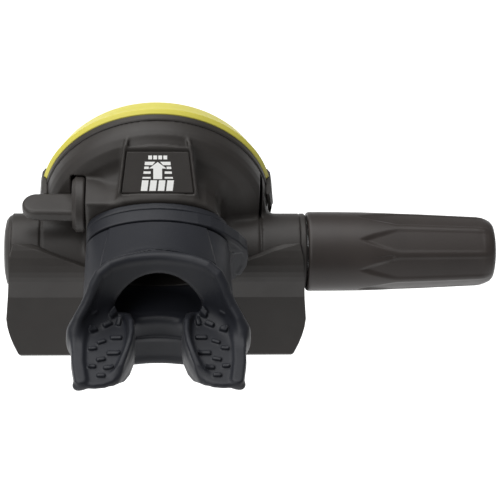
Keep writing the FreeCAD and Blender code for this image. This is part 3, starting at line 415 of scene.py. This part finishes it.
def bite_tabs(ax, y, z):
    """Both tabs: a tread with a wall outside it, a lump at its corner and a lip inside it."""
    under = graded(y, UNDER_Y, UNDER_Z)
    tread = prism(polygon_distance(ax, y, TAB_OUTLINE), np.maximum(z - TREAD_TOP, under - z), 0.9)
    wall = prism(path_distance(ax, y, WALL_PATH) - WALL_HALF_W,
                 np.maximum(z - WALL_TOP, under - 0.6 - z), 0.6)
    at_x, at_y, at_z = TAB_CORNER
    corner = np.sqrt((ax - at_x) ** 2 + (y - at_y) ** 2 + (z - at_z) ** 2) - TAB_CORNER_R
    lip_top = graded(y, LIP_Y, LIP_TOP)
    lip_low = 2 * LIP_MIDDLE_Z - lip_top
    lip_half = graded(z, [13.0, 22.0], [1.35, 0.85])
    lip = prism(path_distance(ax, y, LIP_PATH) - lip_half, np.maximum(z - lip_top, lip_low - z), 0.7)
    return join(join(join(tread, wall, 1.5), lip, 1.8), corner, 0.5)


def tread_bars(ax, y, z):
    """The small bars that stand on the bite surfaces."""
    pads = None
    for at_x, at_y, length, width, degrees in BARS:
        shape = bar(ax, y, at_x, at_y, length, width, degrees)
        pads = shape if pads is None else np.minimum(pads, shape)
    return np.maximum(pads, np.abs(z - 16.5) - 6.5)


def mouthpiece_field(x, y, z):
    ax = np.abs(x)
    # sleeve: an oval that flares up towards the flange
    half_w = graded(y, MOUTH_STATIONS, MOUTH_HALF_W)
    half_h = graded(y, MOUTH_STATIONS, MOUTH_HALF_H)
    middle = graded(y, MOUTH_STATIONS, MOUTH_MIDDLE)
    outside = oval(x, z - middle, half_w, half_h)
    # flange: a leaning plate that wraps round the teeth, with a rounded rim
    c, s = math.cos(FLANGE_LEAN), math.sin(FLANGE_LEAN)
    local_y = (y - FLANGE_Y) * c - (z - FLANGE_Z) * s
    local_z = (y - FLANGE_Y) * s + (z - FLANGE_Z) * c
    depth = local_y + FLANGE_WRAP + 1.5
    radius = np.hypot(x, depth)
    from_middle = radius - FLANGE_WRAP
    arc = FLANGE_WRAP * np.arctan2(ax, depth)
    outline = [(FLANGE_WRAP * math.asin(px / FLANGE_WRAP), pz) for px, pz in FLANGE_OUTLINE]
    outline += [(-px, pz) for px, pz in outline[-2:0:-1]]
    edge = polygon_distance(arc, local_z, outline)
    plate = both(np.abs(from_middle) - FLANGE_HALF_T, edge, 0.8)
    rim = np.hypot(from_middle + 0.25, edge) - RIM_R
    sleeve = np.maximum(outside, y - MOUTH_FRONT)
    sleeve = both(sleeve, -from_middle, 1.5)
    sleeve = np.maximum(sleeve, MOUTH_STATIONS[0] - y)
    # the tie's groove
    across = np.abs(y - 0.5 * (GROOVE_FRONT + GROOVE_REAR)) - 0.5 * (GROOVE_FRONT - GROOVE_REAR)
    groove = np.maximum(across, -oval(x, z - TUBE_Z, SEAT_W, SEAT_H))
    sleeve = less(sleeve, groove, 0.5)
    body = join(sleeve, join(plate, rim, 1.0), 3.0)
    # floor of the hole rolls down to a crease, with a lower lip under it
    sill = prism(polygon_distance(y, z + 0.004 * x * x, SILL_OUTLINE), ax - 12.0, 0.8)
    body = join(body, sill, 1.2)
    # throat, from the tube's oval to an arch over a flat floor
    along = np.clip((TUBE_END - y) / THROAT_LENGTH, 0, 1)
    hole_w = 18.2 - 4.0 * along
    arch = oval(x, z - (TUBE_Z - 5.0 * along), hole_w, 7.0 + 8.0 * along)
    floor = (13.0 + 1.1 * along) - 0.005 * x * x - z
    throat = np.maximum(both(arch, floor, 3.0), y - TUBE_END - 0.2)
    body = less(body, throat, 2.2)
    tabs = np.maximum(bite_tabs(ax, y, z), from_middle - 0.5)
    body = join(body, tabs, 4.6)
    room = np.maximum(oval(x, z - TUBE_Z, 19.85, 8.65), TUBE_END - 0.3 - y)
    body = np.maximum(body, -room)
    # raised by the first number: bars on the treads, a panel on the sleeve, a pad on the lower lip
    body = join(body, both(body - 0.9, tread_bars(ax, y, z), 0.25), 0.15)
    panel_half = graded(y, [-38.0, GROOVE_REAR], [17.7, 14.8])
    panel = np.maximum(np.maximum(ax - panel_half, TUBE_Z - z),
                       np.maximum(y - GROOVE_REAR + 0.3, SLEEVE_PANEL_REAR - y))
    body = join(body, both(body - 0.45, panel, 0.2), 0.2)
    pad = np.maximum(np.maximum(ax - 11.0, z - 8.2 + 0.006 * x * x), from_middle)
    return join(body, both(body - 0.5, pad, 0.3), 0.2)


def make_mouthpiece():
    low, high = (-28.8, -73.6, -5.0), (28.8, -8.6, 38.6)
    x, y, z = grid(low, high, FINE)
    field = mouthpiece_field(x, y, z)
    piece = field_piece("mouthpiece_silicone", field, low, FINE, finish["silicone_black"],
                        "root")
    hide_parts("mouthpiece")


# ---- tie ----------------------------------------------------------------------------------------------

# across the part, as (x, z): the strap's free end, and the tongue and the head's web under it
STRAP_PATH = [(8.0, 29.0), (12.0, 28.5), (16.0, 27.2), (20.0, 24.6), (24.6, 20.6), (26.9, 17.6),
              (27.5, 14.4), (27.1, 10.8), (25.6, 7.2)]
TONGUE_OUTLINE = [(22.4, 19.0), (26.6, 17.4), (27.2, 14.0), (26.2, 9.0), (24.4, 4.4), (22.9, 3.6),
                  (22.4, 8.0)]
WEB_OUTLINE = [(17.5, 22.0), (21.8, 17.6), (23.6, 16.0), (26.4, 16.6), (25.2, 19.8), (19.6, 24.4)]


def tie_field(x, y, z):
    middle = 0.5 * (BAND_FRONT + BAND_REAR)
    width = np.abs(y - middle) - 0.5 * (BAND_FRONT - BAND_REAR)
    ring = np.abs(oval(x, z - TUBE_Z, 21.35, 10.25)) - 0.62
    band = prism(ring, width, 0.35)
    strap = prism(path_distance(x, z, STRAP_PATH) - 0.75, width, 0.4)
    tongue = prism(polygon_distance(x, z, TONGUE_OUTLINE), width + 0.35, 0.4)
    ridge = prism(np.abs(x - 23.3) - 0.35, np.maximum(np.abs(z - 10.6) - 6.0, width + 0.05), 0.2)
    web = prism(polygon_distance(x, z, WEB_OUTLINE), width + 0.15, 0.4)
    return join(join(join(band, strap, 0.6), np.minimum(tongue, ridge), 0.5), web, 0.6)


def make_tie():
    low, high = (-22.8, -18.0, 2.4), (29.2, -11.6, 31.6)
    step = FINE * 0.625
    x, y, z = grid(low, high, step)
    piece = field_piece("mouthpiece_tie_moulded", tie_field(x, y, z), low, step, finish["silicone_black"],
                        "root")
    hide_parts("mouthpiece_tie")


# ---- hose sleeve --------------------------------------------------------------------------------------

SLEEVE_LEFT = 48.1
SLEEVE_RIGHT = 108.9
SLEEVE_PROFILE = [(SLEEVE_LEFT, 10.7), (SLEEVE_LEFT, 12.1), (SLEEVE_LEFT + 0.15, 12.45),
                  (SLEEVE_LEFT + 0.5, 12.7), (SLEEVE_LEFT + 1.0, 12.8), (56.0, 12.8), (66.0, 12.7),
                  (85.0, 12.05), (103.5, 11.18), (105.2, 10.95), (106.6, 10.45), (107.8, 9.8),
                  (108.6, 8.9), (108.85, 8.0), (SLEEVE_RIGHT, 7.2), (108.7, 6.7), (108.3, 6.42),
                  (80.5, 6.42)]
SLEEVE_STEP = 0.45                     # longest step along that profile
FLUTES = 8
FLUTE_TURN = math.radians(5.5)
FLUTE_LEFT = 64.0                      # a flat starts here as a point and is at full width this far on
FLUTE_RUN = 13.0
FLUTE_DEPTH = 0.75                     # as a part of the depth of a true flat
FACET_LEFT, FACET_RIGHT = 65.0, 75.3   # small facet that widens towards the flats
FACET_TURN = math.radians(147)
FACET_DEPTH = 0.2


def sleeve_stations():
    """Places along the sleeve's profile, close enough to round it."""
    stations = []
    for (x0, r0), (x1, r1) in zip(SLEEVE_PROFILE, SLEEVE_PROFILE[1:]):
        steps = max(1, int(math.hypot(x1 - x0, r1 - r0) / SLEEVE_STEP))
        for k in range(steps):
            t = k / steps
            stations.append((x0 + (x1 - x0) * t, r0 + (r1 - r0) * t))
    return stations + [SLEEVE_PROFILE[-1]]


def make_hose_sleeve():
    """The rubber sleeve, with eight long flats that start as points and run out of its rounded end."""
    around = 288
    stations = sleeve_stations()
    angle = np.arange(around) * 2 * math.pi / around
    sector = 2 * math.pi / FLUTES
    turned = (angle - FLUTE_TURN + 0.5 * sector) % sector
    from_centre = 0.5 * sector - np.abs(turned - 0.5 * sector)     # angle from the middle of a flat
    rings = []
    for x, r in stations:
        if r > 9.0 and x > SLEEVE_LEFT + 2:
            open_to = np.clip((x - FLUTE_LEFT) / FLUTE_RUN, 0, 1)
            half = 0.5 * sector * open_to ** 0.8
            chord = r * (1 - np.cos(0.5 * sector) / np.maximum(np.cos(from_centre), 0.5))
            edge = np.clip((half - from_centre) / 0.14, 0, 1)
            fade = np.clip((SLEEVE_RIGHT - 0.9 - x) / 4.0, 0, 1)
            depth = FLUTE_DEPTH * chord * edge * edge * (3 - 2 * edge) * fade
        else:
            depth = np.zeros(around)
        radius = r - depth
        if FACET_LEFT < x < FACET_RIGHT:
            along = (x - FACET_LEFT) / (FACET_RIGHT - FACET_LEFT)
            across = (angle - FACET_TURN) / (math.radians(6) * along)
            radius = radius - FACET_DEPTH * (1 - across) * (np.abs(across) < 1) * along
        rings.append(np.stack([np.full(around, x), radius * np.cos(angle), radius * np.sin(angle)], 1))
    points = np.concatenate(rings)
    faces = []
    for i in range(len(stations) - 1):
        here = i * around + np.arange(around)
        side = i * around + (np.arange(around) + 1) % around
        faces.append(np.stack([here, side, side + around, here + around], 1))
    piece = mesh_piece("hose_sleeve_rubber", points, np.concatenate(faces), finish["sleeve_rubber"],
                       "hose_end")
    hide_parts("hose_protector")


# ---- case ---------------------------------------------------------------------------------------------

DRUM_Z = 10.0
# the drum's profile as (radius, y): a shallow bowl with a rounded side and the ring's collar in front
DRUM_PROFILE = [(-2.0, 1.6), (18.0, 1.7), (25.0, 2.1), (30.0, 2.9), (33.2, 4.2), (34.9, 5.9), (35.6, 7.6),
                (35.8, 9.4), (35.8, 11.6), (34.2, 11.6), (34.2, 13.1), (-2.0, 13.1)]
# half outline of the neck across the part, as (x, z)
NECK_OUTLINE = [(0.0, 31.7), (6.0, 31.5), (11.0, 30.8), (15.0, 29.2), (18.0, 26.4), (19.6, 22.6),
                (20.3, 14.0), (22.6, 6.0), (22.9, 0.0), (0.0, -2.0)]
NECK_END = -9.2                        # its rear and front ends
NECK_FRONT = 6.0
HOUSING_R = 12.3                       # housing round the valve barrel
HOUSING_LEFT = -46.0
HOUSING_RIGHT = 45.6
SEAMS = (-36.7, 33.0)                  # fine grooves round it
SEAM = 0.45
BOSS_LEFT = -22.3                      # square boss that carries the lever
BOSS_RIGHT = -10.0
BOSS_TOP = 29.8
BOSS_LOW = 8.0
LEVER_Y, LEVER_Z = -0.6, 21.6          # the lever's axis
WING_Y = -2.0                          # middle of its wing
PORT_Y = -3.2                          # the exhaust port's axis
PORT_BOTTOM = -14.0
PORT_TOP = -8.0
# the sloping panel's top, by its rear edge and its rise towards the drum
PANEL_Y = -6.9
PANEL_Z = 32.6
LABEL_SLOPE = (44.45 - PANEL_Z) / (4.0 - PANEL_Y)
STEEP = math.hypot(1, LABEL_SLOPE)
LABEL_FRONT = 2.2                      # front edge of the recess that holds the label
RAIL_X = 10.1                          # a rail's middle at that edge
LABEL_SPREAD = 0.18                    # how much wider the panel grows towards its rear edge
RAIL_HALF_W = 0.6
CHAMBER_R = 31.4                       # the diaphragm's chamber
CHAMBER_FLOOR = 9.4
HOLLOW_FRONT = 10.4                    # what opens into it ends here
POCKET_R = 10.6                        # open space round the barrel
POCKET_HALF = 18.0


def panel_shapes(ax, y, z, r):
    """The sloping panel behind the drum, its two rails and the recess for the label."""
    above = (z - PANEL_Z - (y - PANEL_Y) * LABEL_SLOPE) / STEEP
    half = (RAIL_X + LABEL_SPREAD * (LABEL_FRONT - y)).astype(np.float32)
    rear = PANEL_Y - 0.3 - y
    panel = np.maximum(np.maximum(above + 0.25, ax - half),
                       np.maximum(np.maximum(rear, y - 2.8), -above - 9.0))
    ends = np.maximum(np.maximum(rear, y - 6.5), r - 34.9)
    rail = prism(np.maximum(np.abs(ax - half) - RAIL_HALF_W, -above - 6.0), np.maximum(above - 0.1, ends),
                 0.4)
    recess = np.maximum(np.maximum(ax - half + 0.4, -1.5 / STEEP - above),
                        np.maximum(PANEL_Y - y, y - LABEL_FRONT))
    return panel, rail, recess


def case_rooms(x, y, z, r):
    """What is hollow in the case or kept free round what it carries."""
    ax = np.abs(x)
    from_barrel = np.hypot(y, z)
    from_lever = np.hypot(y - LEVER_Y, z - LEVER_Z)
    from_wing = np.hypot(y - WING_Y, z - LEVER_Z)
    from_port = np.hypot(x, y - PORT_Y)
    behind = y - HOLLOW_FRONT
    return [
        np.maximum(r - CHAMBER_R, CHAMBER_FLOOR - y),
        np.maximum(from_barrel - POCKET_R, ax - POCKET_HALF),
        np.maximum(np.maximum(ax - POCKET_HALF, np.abs(z) - POCKET_R), np.maximum(-y, behind)),
        np.maximum(oval(x, z - TUBE_Z, 18.2, 7.0), behind),                          # mouth tube
        from_barrel - 7.25,                                                          # barrel
        np.maximum(from_lever - 3.25, x - BOSS_RIGHT),                               # lever's shaft
        np.maximum(from_lever - 9.2, np.maximum(-26.9 - x, x - BOSS_LEFT)),          # its hub
        np.maximum(from_wing - 4.9, np.maximum(-36.5 - x, x + 26.6)),                # its wing
        np.maximum(34.15 - r, 11.55 - y),                                            # cover ring
        np.maximum(from_port - 7.4, np.maximum(PORT_BOTTOM - 1.0 - z, z - PORT_TOP)),
        np.maximum(np.maximum(y - 3.3, z + 12.5), np.maximum(-y, 14.5 - from_port)),  # tee's front
        np.maximum(from_port - 10.3, np.maximum(np.maximum(z + 12.2, -18.0 - z), 9.0 - from_port))]


def port_cross(ax, x, y, z):
    """The cross in the exhaust port, with the hole for the valve's stem."""
    from_port = np.hypot(x, y - PORT_Y)
    cross = np.minimum(np.minimum(ax, np.abs(y - PORT_Y)) - 0.9, from_port - 2.6)
    cross = np.maximum(cross, np.maximum(from_port - 7.8, np.abs(z + 13.2) - 0.8))
    return np.maximum(cross, 1.35 - from_port)


def case_field(x, y, z):
    ax = np.abs(x)
    r = np.hypot(x, z - DRUM_Z)
    drum = polygon_distance(r, y, DRUM_PROFILE)
    housing = np.maximum(np.hypot(y, z) - HOUSING_R, np.maximum(HOUSING_LEFT - x, x - HOUSING_RIGHT))
    outline = NECK_OUTLINE + [(-px, pz) for px, pz in NECK_OUTLINE[-2:0:-1]]
    neck_ends = np.maximum(NECK_END - y, y - NECK_FRONT)
    neck = prism(polygon_distance(x, z, outline), neck_ends, 1.0)
    boss_sides = np.maximum(np.maximum(BOSS_LEFT - x, x - BOSS_RIGHT),
                            np.maximum(z - BOSS_TOP, BOSS_LOW - z))
    boss = prism(boss_sides, neck_ends, 0.8)
    panel, rail, recess = panel_shapes(ax, y, z, r)
    shell = join(join(drum, neck, 5.0), panel, 2.4)
    shell = join(shell, housing, 2.2)
    shell = join(shell, boss, 0.8)
    shell = join(shell, rail, 0.5)
    tube = np.maximum(oval(x, z - TUBE_Z, 19.8, 8.6), np.maximum(TUBE_END - y, y + 7.0))
    port = np.maximum(np.hypot(x, y - PORT_Y) - 9.0, np.maximum(PORT_BOTTOM - z, z - PORT_TOP))
    shell = np.minimum(np.minimum(shell, tube), port)
    for at_x in SEAMS:
        seam = np.maximum(np.abs(x - at_x) - SEAM, HOUSING_R - SEAM - np.hypot(y, z))
        shell = np.where((ax > 30) & (y < 11.0), np.maximum(shell, -seam), shell)
    shell = less(shell, recess, 0.3)
    for room in case_rooms(x, y, z, r):
        shell = np.maximum(shell, -room)
    return np.minimum(shell, port_cross(ax, x, y, z))


def make_case():
    """The whole moulding: drum, neck, housing and mouth tube, with soft fillets where they meet."""
    low, high = (-46.9, -28.9, -26.6), (46.6, 14.1, 46.8)
    step = 0.4
    x, y, z = grid(low, high, step)
    piece = field_piece("case_shell_moulded", case_field(x, y, z), low, step, finish["case_black"],
                        "root")
    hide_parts("case_shell")


# ---- printed label ------------------------------------------------------------------------------------

LABEL_SUNK = 0.8                       # how far the plate lies below the rails
PRINT_LIFT = 0.06                      # the print stands this far off the plate
PRINT_ROOT = -0.05
PLATE_FRONT = 1.95
PLATE_REAR = -6.65
PLATE_X = 9.45                         # half width at the recess's front edge
PLATE_BEVEL = 0.14


def label_point(x, y, lift):
    """A point of the drawing on the sunk label, lifted off it along its normal."""
    top = PANEL_Z + (y - PANEL_Y) * LABEL_SLOPE - LABEL_SUNK
    return (x, y - lift * LABEL_SLOPE / STEEP, top + lift / STEEP)


def print_shape(name, outline):
    """A thin printed patch on the label, from its outline as (x, y) points."""
    n = len(outline)
    points = [label_point(x, y, lift) for lift in (PRINT_LIFT, PRINT_ROOT) for x, y in outline]
    faces = [tuple(range(n)), tuple(range(2 * n - 1, n - 1, -1))]
    faces += [(k, n + k, n + (k + 1) % n, (k + 1) % n) for k in range(n)]
    mesh = bpy.data.meshes.new(name)
    mesh.from_pydata(to_row(points).tolist(), [], faces)
    mesh.validate()
    mesh.materials.append(finish["print_white"])
    piece = bpy.data.objects.new(name, mesh)
    bpy.context.scene.collection.objects.link(piece)
    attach(piece, "root")


def make_label_plate():
    """The sunk plate that carries the print, with softened edges."""
    rows = []
    for inset, lift in ((0.0, -0.5), (0.0, -0.12), (PLATE_BEVEL, 0.0)):
        front, rear = PLATE_FRONT - inset, PLATE_REAR + inset
        wide = [PLATE_X + LABEL_SPREAD * (LABEL_FRONT - y) - inset for y in (front, rear)]
        rows += [label_point(-wide[0], front, lift), label_point(wide[0], front, lift),
                 label_point(wide[1], rear, lift), label_point(-wide[1], rear, lift)]
    faces = [(0, 1, 2, 3), (11, 10, 9, 8)]
    for row in (0, 4):
        faces += [(row + k, row + 4 + k, row + 4 + (k + 1) % 4, row + (k + 1) % 4) for k in range(4)]
    piece = mesh_piece("label_plate_moulded", np.array(rows), faces, finish["case_black"],
                       "root", smooth=False)
    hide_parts("label_plate")


def make_label():
    """An arrow between stripes that fan out, between two rows of plain blocks; no lettering."""
    print_shape("label_arrow", [(-2.7, -1.55), (-1.35, -1.55), (-1.35, -3.75), (1.35, -3.75), (1.35, -1.55),
                                (2.7, -1.55), (0.0, -0.2)])
    # stripes on each side of the arrow: top, thickness, near end, far end
    stripes = [(-0.15, 0.7, 0.75, 3.9), (-1.15, 0.5, 2.75, 4.1), (-2.15, 0.5, 2.15, 4.3),
               (-3.3, 0.35, 2.15, 4.6)]
    for k, (top, thick, near, far) in enumerate(stripes):
        slant = 0.9 if k == 0 else 0.0
        for side, label in ((-1, "left"), (1, "right")):
            outline = [(side * near, top), (side * (near + slant), top - thick),
                       (side * (far + 0.1), top - thick), (side * far, top)]
            print_shape(f"label_stripe_{k}_{label}", outline if side > 0 else outline[::-1])
    for k in range(4):
        left = -5.2 + 2.6 * k
        print_shape(f"label_block_{k}", [(left, -6.2), (left + 2.0, -6.2), (left + 2.4, -4.0),
                                         (left + 0.4, -4.0)])
        left = -2.9 + 1.55 * k
        print_shape(f"label_dash_{k}", [(left, 0.35), (left + 1.15, 0.35), (left + 1.15, 1.15),
                                        (left, 1.15)])


make_case()
make_mouthpiece()
make_tie()
make_hose_sleeve()
make_label_plate()
make_label()


# ---- stage, lights and camera -------------------------------------------------------------------------

FLOOR_HALF = 3.0                       # metres, as is all that follows
FLOOR_DROP = 0.25                      # far enough below to take no shadow in the picture


def make_floor():
    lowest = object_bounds()[0][2]
    half = FLOOR_HALF
    mesh = bpy.data.meshes.new("floor")
    mesh.from_pydata([(-half, -half, 0), (half, -half, 0), (half, half, 0), (-half, half, 0)], [],
                     [(0, 1, 2, 3)])
    material, _, bsdf = shader("floor_pale")
    bsdf.inputs["Base Color"].default_value = (0.93, 0.93, 0.93, 1)
    bsdf.inputs["Roughness"].default_value = 0.9
    bsdf.inputs["Specular IOR Level"].default_value = 0.1
    bsdf.inputs["Emission Color"].default_value = (1, 1, 1, 1)
    bsdf.inputs["Emission Strength"].default_value = 0.35
    mesh.materials.append(material)
    floor = bpy.data.objects.new("floor", mesh)
    floor.location.z = lowest - FLOOR_DROP
    bpy.context.scene.collection.objects.link(floor)


def area_light(name, place, target, size, power):
    data = bpy.data.lights.new(name, "AREA")
    data.shape = "SQUARE"
    data.size = size
    data.energy = power
    lamp = bpy.data.objects.new(name, data)
    lamp.location = place
    lamp.rotation_euler = (Vector(target) - Vector(place)).to_track_quat("-Z", "Y").to_euler()
    bpy.context.scene.collection.objects.link(lamp)


def make_lights():
    world = bpy.data.worlds.new("studio")
    bpy.context.scene.world = world
    world.use_nodes = True
    background = world.node_tree.nodes["Background"]
    background.inputs["Color"].default_value = (1.0, 1.0, 1.0, 1)
    background.inputs["Strength"].default_value = 0.22
    area_light("overhead", (-0.35, 0.35, 1.15), (0, 0, 0), 1.6, 25)
    area_light("behind_left", (-0.9, -0.9, 0.9), (0, 0.03, 0), 0.9, 9)


CAMERA_AZIMUTH = math.radians(0.9)
CAMERA_ROLL = math.radians(0.6)
CAMERA_PAN = math.radians(2.87)        # to the right, past the barrel's middle
CAMERA_DISTANCE = 0.6
CAMERA_ELEVATION = math.radians(45.0)
LENS_MM = 133.92


def make_camera():
    data = bpy.data.cameras.new("camera")
    data.sensor_width = 36.0
    data.lens = LENS_MM
    data.shift_y = 0.003
    data.clip_start = 0.01
    camera = bpy.data.objects.new("camera", data)
    barrel = Vector(to_row((0, 0, 0)))
    flat = math.cos(CAMERA_ELEVATION)
    away = Vector((-math.sin(CAMERA_AZIMUTH) * flat, -math.cos(CAMERA_AZIMUTH) * flat,
                   math.sin(CAMERA_ELEVATION)))
    camera.location = barrel + CAMERA_DISTANCE * away
    aim = Euler((math.pi / 2 - CAMERA_ELEVATION, 0, -CAMERA_AZIMUTH)).to_matrix()
    turned = aim @ Matrix.Rotation(CAMERA_ROLL, 3, "Z") @ Matrix.Rotation(-CAMERA_PAN, 3, "Y")
    camera.rotation_euler = turned.to_euler()
    bpy.context.scene.collection.objects.link(camera)
    bpy.context.scene.camera = camera


make_floor()
make_lights()
make_camera()
bpy.context.scene.view_settings.view_transform = "Standard"
